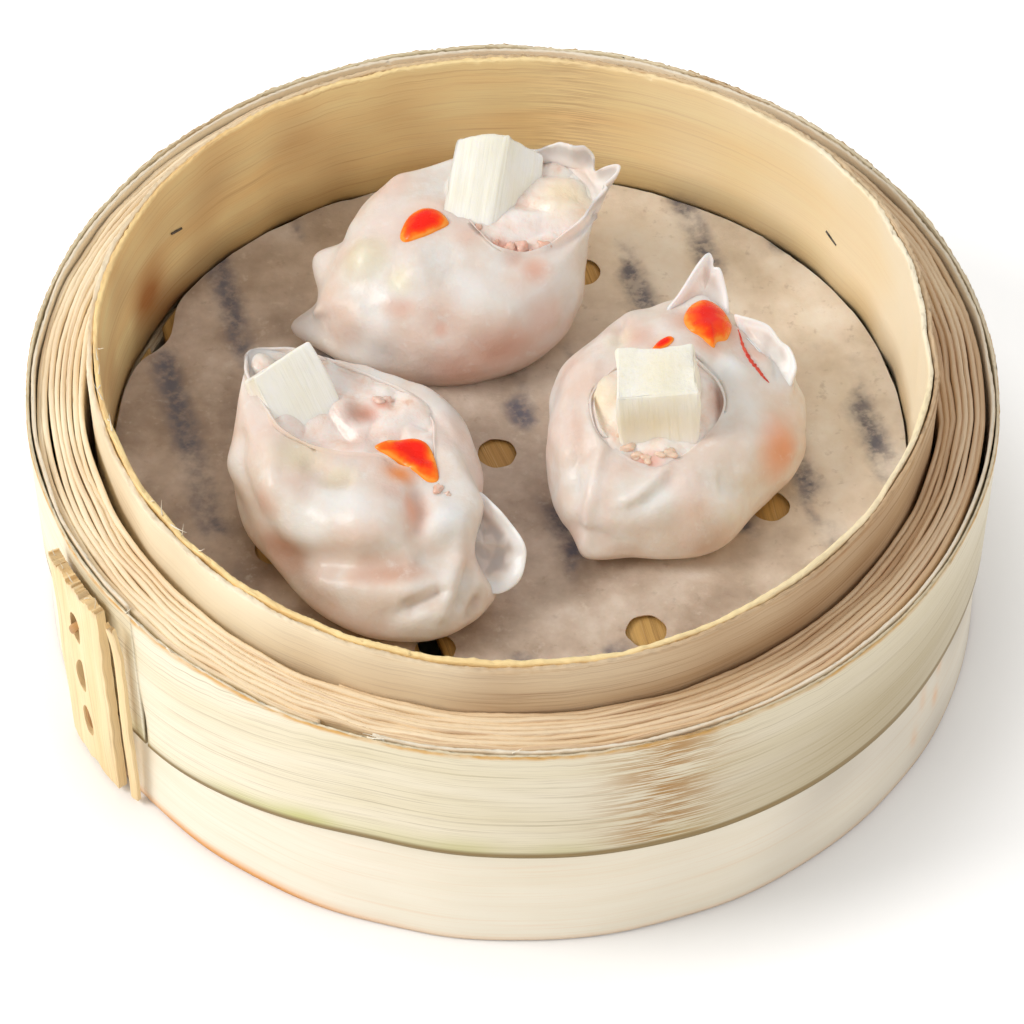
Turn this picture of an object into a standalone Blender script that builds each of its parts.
"""Har gow dumplings in the small bamboo steamer basket they are served in.

Units are metres, +Z up.  The origin is the middle of the basket's foot, +Y points away from the
side that shows the floor best, and the lacing plate is at the left front.

The basket is built as the real one is: flat bamboo strips are bent into hoops.  Two turns stand up
inside and hold the lid or the next basket, a long strip is wound round them, and two bands close
the outside.  A plate of bamboo, laced through three eyes, holds the ends of the bands.  Slats lie
on a hoop under the inner one, with a punched paper liner on them.  Each dumpling is a thin wrapper,
open at the top, round a prawn filling with a cut block of bamboo shoot pressed into it.
"""

import math

import bmesh
import bpy
import numpy as np
from mathutils import Matrix, Vector

MM = 0.001
CLEARANCE = 0.35 * MM  # between pieces that touch in the real basket

# Basket, radii from the middle and heights from the foot
SEGMENTS = 48  # straight steps in one turn, shared by every hoop so that they nest
HOOP_RADIUS = 68.8 * MM  # inside of the raised hoop
STRIP = 1.0 * MM  # thickness of one bamboo strip
TURN_PITCH = STRIP + CLEARANCE
HOOP_TURNS = 2.0
HOOP_BOTTOM = 29.6 * MM
HOOP_TOP = 58.5 * MM
WOUND_TURNS = 6.25
WOUND_BOTTOM = 0.5 * MM
WOUND_TOP = 48.6 * MM
BAND_RADIUS = 81.35 * MM  # inside of the two outer bands
BAND_THICKNESS = 1.15 * MM
BAND_TOP = 49.5 * MM
BAND_SEAM = 22.9 * MM  # height where the upper band ends over the lower one
LOWER_FLARE = 0.7 * MM  # the foot is a little wider than the rim
UPPER_SPLIT = math.radians(222.0)  # where the ends of the upper band meet
LOWER_SPLIT = math.radians(212.0)
SPLIT_HALF = math.radians(0.35)
INNER_WOBBLE = 0.8 * MM  # the hoops are bent by hand and aren't quite round
OUTER_WOBBLE = 0.6 * MM

# Floor
FLOOR_HOOP_BOTTOM = 12.0 * MM
SLAT_BOTTOM = 26.2 * MM
SLAT_THICKNESS = 3.0 * MM
SLAT_WIDTH = 11.0 * MM
SLAT_PITCH = 14.4 * MM
SLAT_COUNT = 9
SLAT_EDGES = (-1.0, -0.34, 0.34, 1.0)  # places across a slat, in halves of its width
SLAT_OFFSET = -3.5 * MM  # of the middle slat from the basket's middle
SLAT_REACH = 69.9 * MM
SLAT_TURN = math.radians(15.7)  # the slats' direction, turned from -Y
PAPER_BOTTOM = 29.6 * MM
PAPER_THICKNESS = 0.3 * MM
PAPER_RADIUS = 66.4 * MM
PAPER_CENTRE = (0.4 * MM, 1.0 * MM)
PAPER_HOLE = 3.4 * MM  # radius of one punched hole
HOLE_RING = 46.0 * MM
HOLE_COUNT = 8
HOLE_START = math.radians(29.0)
HOLE_RING_SHIFT = -1.0 * MM  # the ring's middle lies a little towards the front
HOLE_CORNERS = 12
MIDDLE_HOLE = (-2.6 * MM, -1.3 * MM)
PAPER_CORNERS = 60
PUNCH_DEPTH = 2.0 * MM

# Lacing plate
PLATE_START = math.radians(207.0)
PLATE_END = math.radians(218.0)
PLATE_THICKNESS = 2.0 * MM
PLATE_BOTTOM = 0.6 * MM
PLATE_TOP = 47.5 * MM
PLATE_RADIUS = BAND_RADIUS + BAND_THICKNESS + LOWER_FLARE - OUTER_WOBBLE + CLEARANCE + 0.1 * MM
PLATE_STEPS = 5  # straight steps across a bent plate
SIDE_STRIP_ANGLE = math.radians(220.2)
SIDE_STRIP_HALF = math.radians(0.7)
SIDE_STRIP_TOP = BAND_TOP - 2.0 * MM
EYE_HEIGHTS = (11.5 * MM, 23.5 * MM, 36.0 * MM)
EYE_LENGTH = 8.0 * MM
EYE_WIDTH = 3.6 * MM
EYE_CORNERS = 12
EYE_DEPTH = 3.0 * MM  # of the guide that cuts an eye, to either side of the plate's middle
LACE_SIDES = (-1.0, 1.0, 1.0)  # the side of its eye that each lace shows on, 1 to the right
LACE_RADIUS = 0.5 * MM
LACE_HALF_LENGTH = 2.8 * MM  # a lace bends along half an oval of these two sizes
LACE_HALF_WIDTH = 0.95 * MM
LACE_SWEEP = math.radians(55.0)  # how far the bend goes to either side of its middle
LACE_STEPS = 8
LACE_CORNERS = 6

# Dumplings
WRAPPER = 1.0 * MM
FILLING_CLEARANCE = 0.6 * MM
AROUND = 26  # steps round a wrapper
RINGS = 5  # steps up its wall
RING_CROWDING = 1.2  # above 1 the steps are closer together near the foot
DOME_BEND = math.radians(66.0)  # how far the wall turns over towards its mouth
FOOT_SHARE = 0.80  # of the belly's radius that lies on the paper
FOOT_RISE = 0.16  # share of the wall that curves in to the foot
FULLNESS = 0.9  # below 1 the wall bulges more than a round one
MOUND_RINGS = (0.72, 0.42, 0.16)  # shares of the mouth's radius
LUMP = 0.5 * MM  # height of the filling's lumps
LUMPS_AROUND = 5.0
LUMP_SHIFT = 9.0  # turns the lumps from ring to ring
BLOCK_TAPER = 0.94  # of a shoot block's upper end
BLOCK_CHAMFER = 0.6 * MM
NUDGE = 0.02  # small step used to measure a wall's slope
REST_HEIGHT = PAPER_BOTTOM + PAPER_THICKNESS + CLEARANCE

# Each wall is given by rows of (direction in degrees, belly radius, mouth radius, mouth height) in
# millimetres, the first radius from the middle of the foot, the second from that of the mouth.
BACK_WALL = (
    (0, 26, 15, 21), (25, 27, 16, 24), (58, 26, 16, 25), (90, 22, 15, 24), (130, 21, 13, 23),
    (165, 26, 11, 23), (192, 29, 10, 22), (225, 22, 9, 21), (270, 17.5, 10, 20), (318, 22, 12, 19),
)
LEFT_WALL = (
    (0, 20, 14, 14), (40, 20, 12, 15), (80, 23, 12, 16), (115, 28, 16, 18), (145, 31, 23, 20),
    (180, 28, 20, 21), (215, 22, 12, 20), (250, 20, 10, 19), (288, 25, 12, 17), (318, 28, 18, 13),
    (340, 24, 18, 13),
)
RIGHT_WALL = (
    (0, 23, 16, 16), (35, 23, 18, 16), (75, 23, 22, 19), (105, 23, 17, 17), (150, 22, 14, 17),
    (185, 22, 13, 17), (215, 23, 14, 17), (238, 27, 16, 15), (270, 24.5, 17, 14), (300, 24.5, 14, 15),
    (330, 24, 13, 16),
)
DUMPLINGS = {
    "back": dict(
        wall=BACK_WALL, foot=(-12.0, 31.0), mouth=(-1.0, 38.0), mound=2.0,
        block=(12.0, 11.5, 17.0), place=(-1.0, 41.2, 51.0),
        across=(-0.70, -0.46, 0.53), along=(0.10, 0.73, 0.68)),
    "left": dict(
        wall=LEFT_WALL, foot=(-22.0, -20.0), mouth=(-26.0, -11.0), mound=1.0,
        block=(12.5, 5.5, 23.0), place=(-36.7, -8.6, 48.0),
        across=(0.79, 0.62, 0.0), along=(-0.43, 0.63, 0.65)),
    "right": dict(
        wall=RIGHT_WALL, foot=(28.0, -3.0), mouth=(27.0, -4.0), mound=2.5,
        block=(16.0, 13.5, 13.0), place=(26.3, -6.2, 49.0),
        across=(1.0, 0.05, 0.02), along=(0.0, 0.06, 1.0)),
}

FINISHES = {
    "bamboo_strip": ((0.80, 0.62, 0.36, 1.0), 0.55),
    "bamboo_band": ((0.84, 0.76, 0.55, 1.0), 0.42),
    "bamboo_slat": ((0.55, 0.38, 0.18, 1.0), 0.60),
    "bamboo_plate": ((0.74, 0.55, 0.26, 1.0), 0.50),
    "liner_paper": ((0.58, 0.46, 0.34, 1.0), 0.75),
    "wrapper_dough": ((0.84, 0.74, 0.69, 1.0), 0.30),
    "prawn_filling": ((0.82, 0.52, 0.42, 1.0), 0.38),
    "bamboo_shoot": ((0.88, 0.85, 0.66, 1.0), 0.45),
}


def clear_scene():
    for item in list(bpy.data.objects):
        bpy.data.objects.remove(item, do_unlink=True)


def make_material(name):
    colour, roughness = FINISHES[name]
    material = bpy.data.materials.new(name)
    material.use_nodes = True
    shader = material.node_tree.nodes["Principled BSDF"]
    shader.inputs["Base Color"].default_value = colour
    shader.inputs["Roughness"].default_value = roughness
    shader.inputs["Metallic"].default_value = 0.0
    material.diffuse_color = colour
    return material


def add_object(name, points, faces, material, sharp=None):
    """A closed body from points and faces, its faces turned out; sharp is its smoothing angle."""
    mesh = bpy.data.meshes.new(name)
    mesh.from_pydata([tuple(p) for p in points], [], faces)
    shape = bmesh.new()
    shape.from_mesh(mesh)
    bmesh.ops.recalc_face_normals(shape, faces=shape.faces)
    if shape.calc_volume(signed=True) < 0.0:
        bmesh.ops.reverse_faces(shape, faces=shape.faces)
    shape.to_mesh(mesh)
    shape.free()
    mesh.materials.append(material)
    if sharp is not None:
        mesh.shade_smooth()
        mesh.set_sharp_from_angle(angle=math.radians(sharp))
    item = bpy.data.objects.new(name, mesh)
    bpy.context.collection.objects.link(item)
    return item


def hand_bent(radius, angle):
    """The radius that a hoop really has in one direction, out of round by less than a millimetre."""
    share = (radius - HOOP_RADIUS) / (BAND_RADIUS - HOOP_RADIUS)
    inner = INNER_WOBBLE * math.cos(3.0 * (angle - math.radians(30.0)))
    outer = OUTER_WOBBLE * math.cos(2.0 * (angle - math.radians(125.0)))
    return radius + inner * (1.0 - share) + outer * share


def strip_sections(angles, radii, thickness, bottom, top, flare=0.0):
    """Four corners at each angle of a bent strip: inside and outside, at its foot and its top."""
    sections = []
    for angle, radius in zip(angles, radii):
        direction = Vector((math.cos(angle), math.sin(angle), 0.0))
        inside = direction * hand_bent(radius, angle)
        outside = direction * hand_bent(radius + thickness, angle)
        low = direction * flare + Vector((0.0, 0.0, bottom))
        high = Vector((0.0, 0.0, top))
        sections.append((inside + low, outside + low, outside + high, inside + high))
    return sections


def sweep(name, sections, material, sharp=40.0):
    """Joins equal sections one after the other and closes both ends."""
    count = len(sections[0])
    points = [corner for section in sections for corner in section]
    faces = []
    for step in range(len(sections) - 1):
        base = step * count
        for corner in range(count):
            after = (corner + 1) % count
            faces.append((base + corner, base + after, base + count + after, base + count + corner))
    last = (len(sections) - 1) * count
    faces.append(tuple(range(count)))
    faces.append(tuple(last + corner for corner in reversed(range(count))))
    return add_object(name, points, faces, material, sharp)


def spiral(name, start_turn, turns, bottom, top, material):
    """A strip wound on itself; every turn lies one pitch outside the last."""
    first = round(start_turn * SEGMENTS)
    steps = range(first, first + round(turns * SEGMENTS) + 1)
    angles = [2.0 * math.pi * step / SEGMENTS for step in steps]
    radii = [HOOP_RADIUS + TURN_PITCH * step / SEGMENTS for step in steps]
    return sweep(name, strip_sections(angles, radii, STRIP, bottom, top), material)


def split_band(name, split, bottom, top, material, flare=0.0):
    """An outer band: one turn whose ends meet at a narrow split."""
    step = 2.0 * math.pi / SEGMENTS
    start = split + SPLIT_HALF
    end = split + 2.0 * math.pi - SPLIT_HALF
    angles = [start]
    angles += [k * step for k in range(math.ceil(start / step), math.floor(end / step) + 1)]
    angles.append(end)
    radii = [BAND_RADIUS] * len(angles)
    sections = strip_sections(angles, radii, BAND_THICKNESS, bottom, top, flare)
    return sweep(name, sections, material)


def closed_ring(name, radius, thickness, bottom, top, material):
    angles = [2.0 * math.pi * k / SEGMENTS for k in range(SEGMENTS)]
    sections = strip_sections(angles, [radius] * SEGMENTS, thickness, bottom, top)
    points = [corner for section in sections for corner in section]
    faces = []
    for step in range(SEGMENTS):
        base = step * 4
        following = ((step + 1) % SEGMENTS) * 4
        for corner in range(4):
            after = (corner + 1) % 4
            faces.append((base + corner, base + after, following + after, following + corner))
    return add_object(name, points, faces, material, 40.0)


def slat(number, offset, material):
    """One floor slat, its ends cut to the round of the hoop that holds it."""
    along = Vector((math.sin(SLAT_TURN), -math.cos(SLAT_TURN), 0.0))
    across = Vector((math.cos(SLAT_TURN), math.sin(SLAT_TURN), 0.0))
    sections = []
    for edge in SLAT_EDGES:
        reach = offset + edge * SLAT_WIDTH / 2.0
        half = math.sqrt(SLAT_REACH ** 2 - reach ** 2)
        middle = across * reach
        low = Vector((0.0, 0.0, SLAT_BOTTOM))
        high = Vector((0.0, 0.0, SLAT_BOTTOM + SLAT_THICKNESS))
        near = middle + along * half
        far = middle - along * half
        sections.append((near + low, near + high, far + high, far + low))
    return sweep(f"slat_{number}", sections, material)


def cut(item, cutter):
    """Takes the cutter out of the item; the cutter stays as a hidden guide."""
    cutter.hide_render = True
    cutter.display_type = "WIRE"
    modifier = item.modifiers.new("cut", "BOOLEAN")
    modifier.operation = "DIFFERENCE"
    modifier.solver = "EXACT"
    modifier.object = cutter


def prism(points, faces, outline, low, high):
    """Adds an upright prism over a closed outline to the lists of points and faces."""
    count = len(outline)
    base = len(points)
    points += [Vector((x, y, low)) for x, y in outline]
    points += [Vector((x, y, high)) for x, y in outline]
    faces.append(tuple(base + k for k in reversed(range(count))))
    faces.append(tuple(base + count + k for k in range(count)))
    for k in range(count):
        after = (k + 1) % count
        faces.append((base + k, base + after, base + count + after, base + count + k))


def circle(middle, radius, count):
    angles = [2.0 * math.pi * k / count for k in range(count)]
    return [(middle[0] + radius * math.cos(a), middle[1] + radius * math.sin(a)) for a in angles]


def paper_holes():
    places = [MIDDLE_HOLE]
    for k in range(HOLE_COUNT):
        angle = HOLE_START + 2.0 * math.pi * k / HOLE_COUNT
        places.append(
            (HOLE_RING * math.cos(angle), HOLE_RING * math.sin(angle) + HOLE_RING_SHIFT))
    return places


def liner_paper(material):
    points = []
    faces = []
    outline = circle(PAPER_CENTRE, PAPER_RADIUS, PAPER_CORNERS)
    prism(points, faces, outline, PAPER_BOTTOM, PAPER_BOTTOM + PAPER_THICKNESS)
    paper = add_object("liner_paper", points, faces, material, 30.0)
    hole_points = []
    hole_faces = []
    for place in paper_holes():
        outline = circle(place, PAPER_HOLE, HOLE_CORNERS)
        prism(hole_points, hole_faces, outline, PAPER_BOTTOM - PUNCH_DEPTH,
              PAPER_BOTTOM + PUNCH_DEPTH)
    punch = add_object("paper_punch", hole_points, hole_faces, material)
    cut(paper, punch)
    return paper


def bent_plate(name, start, end, radius, thickness, bottom, top, material):
    """A short upright plate that follows the round of the basket."""
    angles = [start + (end - start) * k / PLATE_STEPS for k in range(PLATE_STEPS + 1)]
    sections = []
    for angle in angles:
        direction = Vector((math.cos(angle), math.sin(angle), 0.0))
        inside = direction * radius
        outside = direction * (radius + thickness)
        low = Vector((0.0, 0.0, bottom))
        high = Vector((0.0, 0.0, top))
        sections.append((inside + low, outside + low, outside + high, inside + high))
    return sweep(name, sections, material, 30.0)


def eye_outline():
    """An oval with its long axis upright."""
    outline = []
    for k in range(EYE_CORNERS):
        angle = 2.0 * math.pi * k / EYE_CORNERS
        outline.append((EYE_WIDTH / 2.0 * math.cos(angle), EYE_LENGTH / 2.0 * math.sin(angle)))
    return outline


def eye_directions():
    """The plate's outward, upward and sideways directions at its eyes."""
    middle_angle = (PLATE_START + PLATE_END) / 2.0
    outward = Vector((math.cos(middle_angle), math.sin(middle_angle), 0.0))
    upward = Vector((0.0, 0.0, 1.0))
    return outward, upward, upward.cross(outward)


def eye_cutter(height, material):
    outward, upward, sideways = eye_directions()
    points = []
    faces = []
    prism(points, faces, eye_outline(), -EYE_DEPTH, EYE_DEPTH)
    cutter = add_object("eye_guide", points, faces, material)
    turn = Matrix((sideways, upward, outward)).transposed().to_4x4()
    place = outward * (PLATE_RADIUS + PLATE_THICKNESS / 2.0) + upward * height
    cutter.data.transform(Matrix.Translation(place) @ turn)
    return cutter


def lace_loop(number, height, side, material):
    """A turn of split bamboo that bends along one side of its eye, its ends cut short."""
    outward, upward, sideways = eye_directions()
    middle = outward * (PLATE_RADIUS + PLATE_THICKNESS / 2.0) + upward * height
    sections = []
    for k in range(LACE_STEPS + 1):
        angle = LACE_SWEEP * (2.0 * k / LACE_STEPS - 1.0)
        rise = LACE_HALF_LENGTH * math.sin(angle)
        aside = side * LACE_HALF_WIDTH * math.cos(angle)
        heading = upward * (LACE_HALF_LENGTH * math.cos(angle))
        heading = heading - sideways * (side * LACE_HALF_WIDTH * math.sin(angle))
        heading.normalize()
        across = heading.cross(outward)
        route = middle + upward * rise + sideways * aside
        corners = [2.0 * math.pi * c / LACE_CORNERS for c in range(LACE_CORNERS)]
        sections.append([
            route + (across * math.cos(c) + outward * math.sin(c)) * LACE_RADIUS for c in corners])
    return sweep(f"lace_loop_{number}", sections, material, 50.0)


def wall_value(rows, column, angle):
    """Reads one column of a wall's rows at any direction, along a smooth closed curve."""
    degrees = math.degrees(angle) % 360.0
    count = len(rows)
    index = max(k for k in range(count) if rows[k][0] <= degrees)
    near = rows[index]
    after = rows[(index + 1) % count]
    before = rows[index - 1]
    beyond = rows[(index + 2) % count]
    span = (after[0] - near[0]) % 360.0
    step_before = (near[0] - before[0]) % 360.0
    step_beyond = (beyond[0] - after[0]) % 360.0
    slope_near = (after[column] - before[column]) / (span + step_before) * span
    slope_after = (beyond[column] - near[column]) / (span + step_beyond) * span
    t = (degrees - near[0]) / span
    hermite = (2 * t ** 3 - 3 * t ** 2 + 1) * near[column] + (t ** 3 - 2 * t ** 2 + t) * slope_near
    return hermite + (3 * t ** 2 - 2 * t ** 3) * after[column] + (t ** 3 - t ** 2) * slope_after


def wall_point(plan, angle, rise):
    """A point of the wrapper's outside; rise goes from 0 at the foot to 1 at the mouth."""
    rows = plan["wall"]
    belly = wall_value(rows, 1, angle)
    mouth = wall_value(rows, 2, angle)
    height = wall_value(rows, 3, angle)
    direction = np.array((math.cos(angle), math.sin(angle)))
    foot_spot = np.array(plan["foot"]) + direction * belly
    mouth_spot = np.array(plan["mouth"]) + direction * mouth
    bend = rise * DOME_BEND
    inward = (1.0 - math.cos(bend)) / (1.0 - math.cos(DOME_BEND))
    lift = (math.sin(bend) / math.sin(DOME_BEND)) ** FULLNESS
    spot = foot_spot + (mouth_spot - foot_spot) * inward
    tuck = 1.0 - (1.0 - FOOT_SHARE) * max(0.0, 1.0 - rise / FOOT_RISE) ** 2
    middle = np.array(plan["foot"])
    spot = middle + (spot - middle) * tuck
    return np.array((spot[0], spot[1], height * lift)) * MM


def wall_grid(plan, rises, inset):
    """Rows of points up the wall, pushed in by inset along the wall's own normal."""
    angles = [2.0 * math.pi * k / AROUND for k in range(AROUND)]
    grid = []
    for rise in rises:
        row = []
        for angle in angles:
            point = wall_point(plan, angle, rise)
            around = wall_point(plan, angle + NUDGE, rise)
            around = around - wall_point(plan, angle - NUDGE, rise)
            below = max(rise - NUDGE, 0.0)
            above = min(rise + NUDGE, 1.0)
            upward = wall_point(plan, angle, above) - wall_point(plan, angle, below)
            normal = np.cross(around, upward)
            normal = normal / np.linalg.norm(normal)
            row.append(point - normal * inset)
        grid.append(row)
    return grid


def skin_faces(grid_rows, first):
    """Quads between neighbouring rows of points, which are numbered from first."""
    faces = []
    for row in range(grid_rows - 1):
        for k in range(AROUND):
            after = (k + 1) % AROUND
            base = first + row * AROUND
            faces.append((base + k, base + after, base + AROUND + after, base + AROUND + k))
    return faces


def wrapper(name, plan, material):
    """A thin open pouch: outside wall, inside wall and a rim that joins them."""
    rises = [(k / RINGS) ** RING_CROWDING for k in range(RINGS + 1)]
    outside = wall_grid(plan, rises, 0.0)
    inside = wall_grid(plan, rises, WRAPPER)
    for row in inside:
        for point in row:
            point[2] = max(point[2], WRAPPER)
    rows = outside + inside[::-1]
    points = [Vector(p) for row in rows for p in row]
    faces = skin_faces(len(rows), 0)
    faces.append(tuple(reversed(range(AROUND))))
    last = (len(rows) - 1) * AROUND
    faces.append(tuple(last + k for k in range(AROUND)))
    item = add_object(name, points, faces, material, 60.0)
    item.data.transform(Matrix.Translation((0.0, 0.0, REST_HEIGHT)))
    return item


def filling(name, plan, material):
    """The prawn filling: it fits the pouch and rises in a lumpy mound at its mouth."""
    rises = [(k / RINGS) ** RING_CROWDING for k in range(RINGS + 1)]
    inset = WRAPPER + FILLING_CLEARANCE
    rows = wall_grid(plan, rises, inset)
    for row in rows:
        for point in row:
            point[2] = max(point[2], inset)
    rim = rows[-1]
    middle = sum(rim) / len(rim)
    for share in MOUND_RINGS:
        lift = plan["mound"] * MM * (1.0 - share ** 2)
        ring = []
        for k, point in enumerate(rim):
            turned = 2.0 * math.pi * LUMPS_AROUND * k / AROUND + share * LUMP_SHIFT
            lump = LUMP * math.sin(turned)
            spot = middle + (point - middle) * share
            ring.append(spot + np.array((0.0, 0.0, lift + lump * share)))
        rows.append(ring)
    points = [Vector(p) for row in rows for p in row]
    faces = skin_faces(len(rows), 0)
    faces.append(tuple(reversed(range(AROUND))))
    last = (len(rows) - 1) * AROUND
    faces.append(tuple(last + k for k in range(AROUND)))
    item = add_object(name, points, faces, material, 60.0)
    item.data.transform(Matrix.Translation((0.0, 0.0, REST_HEIGHT)))
    return item


def shoot_block(name, plan, grow, material):
    """A cut block of bamboo shoot, tilted as it was pressed in; grow widens every side."""
    size = [(side * MM + 2.0 * grow) for side in plan["block"]]
    shape = bmesh.new()
    bmesh.ops.create_cube(shape, size=1.0)
    bmesh.ops.scale(shape, verts=shape.verts, vec=size)
    for vertex in shape.verts:
        if vertex.co.z > 0.0:
            vertex.co.x *= BLOCK_TAPER
            vertex.co.y *= BLOCK_TAPER
    if grow == 0.0:
        bmesh.ops.bevel(
            shape, geom=shape.edges[:], offset=BLOCK_CHAMFER, segments=1, affect="EDGES")
    mesh = bpy.data.meshes.new(name)
    shape.to_mesh(mesh)
    shape.free()
    mesh.materials.append(material)
    item = bpy.data.objects.new(name, mesh)
    bpy.context.collection.objects.link(item)
    along = Vector(plan["along"]).normalized()
    across = Vector(plan["across"])
    across = (across - along * across.dot(along)).normalized()
    turn = Matrix((across, along.cross(across), along)).transposed()
    place = Vector([c * MM for c in plan["place"]])
    mesh.transform(Matrix.Translation(place) @ turn.to_4x4())
    return item


def build_basket(materials):
    strip = materials["bamboo_strip"]
    band = materials["bamboo_band"]
    plate = materials["bamboo_plate"]
    spiral("inner_hoop", 0.0, HOOP_TURNS, HOOP_BOTTOM, HOOP_TOP, strip)
    wound_start = HOOP_TURNS + 1.0 / SEGMENTS
    spiral("wound_strip", wound_start, WOUND_TURNS, WOUND_BOTTOM, WOUND_TOP, strip)
    split_band("upper_band", UPPER_SPLIT, BAND_SEAM, BAND_TOP, band)
    split_band("lower_band", LOWER_SPLIT, 0.0, BAND_SEAM - CLEARANCE, band, LOWER_FLARE)
    closed_ring("floor_hoop", HOOP_RADIUS, 2.0 * STRIP, FLOOR_HOOP_BOTTOM,
                SLAT_BOTTOM - CLEARANCE, strip)
    lacing_plate = bent_plate("lacing_plate", PLATE_START, PLATE_END, PLATE_RADIUS,
                              PLATE_THICKNESS, PLATE_BOTTOM, PLATE_TOP, plate)
    bent_plate("side_strip", SIDE_STRIP_ANGLE - SIDE_STRIP_HALF, SIDE_STRIP_ANGLE + SIDE_STRIP_HALF,
               PLATE_RADIUS, STRIP, PLATE_BOTTOM, SIDE_STRIP_TOP, plate)
    for number, height in enumerate(EYE_HEIGHTS, start=1):
        cut(lacing_plate, eye_cutter(height, plate))
        lace_loop(number, height, LACE_SIDES[number - 1], plate)


def build_floor(materials):
    for number in range(1, SLAT_COUNT + 1):
        place = number - (SLAT_COUNT + 1) / 2.0
        slat(number, SLAT_OFFSET + place * SLAT_PITCH, materials["bamboo_slat"])
    liner_paper(materials["liner_paper"])


def build_dumplings(materials):
    for place, plan in DUMPLINGS.items():
        wrapped = wrapper(f"wrapper_{place}", plan, materials["wrapper_dough"])
        filled = filling(f"filling_{place}", plan, materials["prawn_filling"])
        shoot_block(f"shoot_block_{place}", plan, 0.0, materials["bamboo_shoot"])
        for item in (wrapped, filled):
            cut(item, shoot_block("block_guide", plan, CLEARANCE, materials["bamboo_shoot"]))


def main():
    clear_scene()
    materials = {name: make_material(name) for name in FINISHES}
    build_basket(materials)
    build_floor(materials)
    build_dumplings(materials)


main()
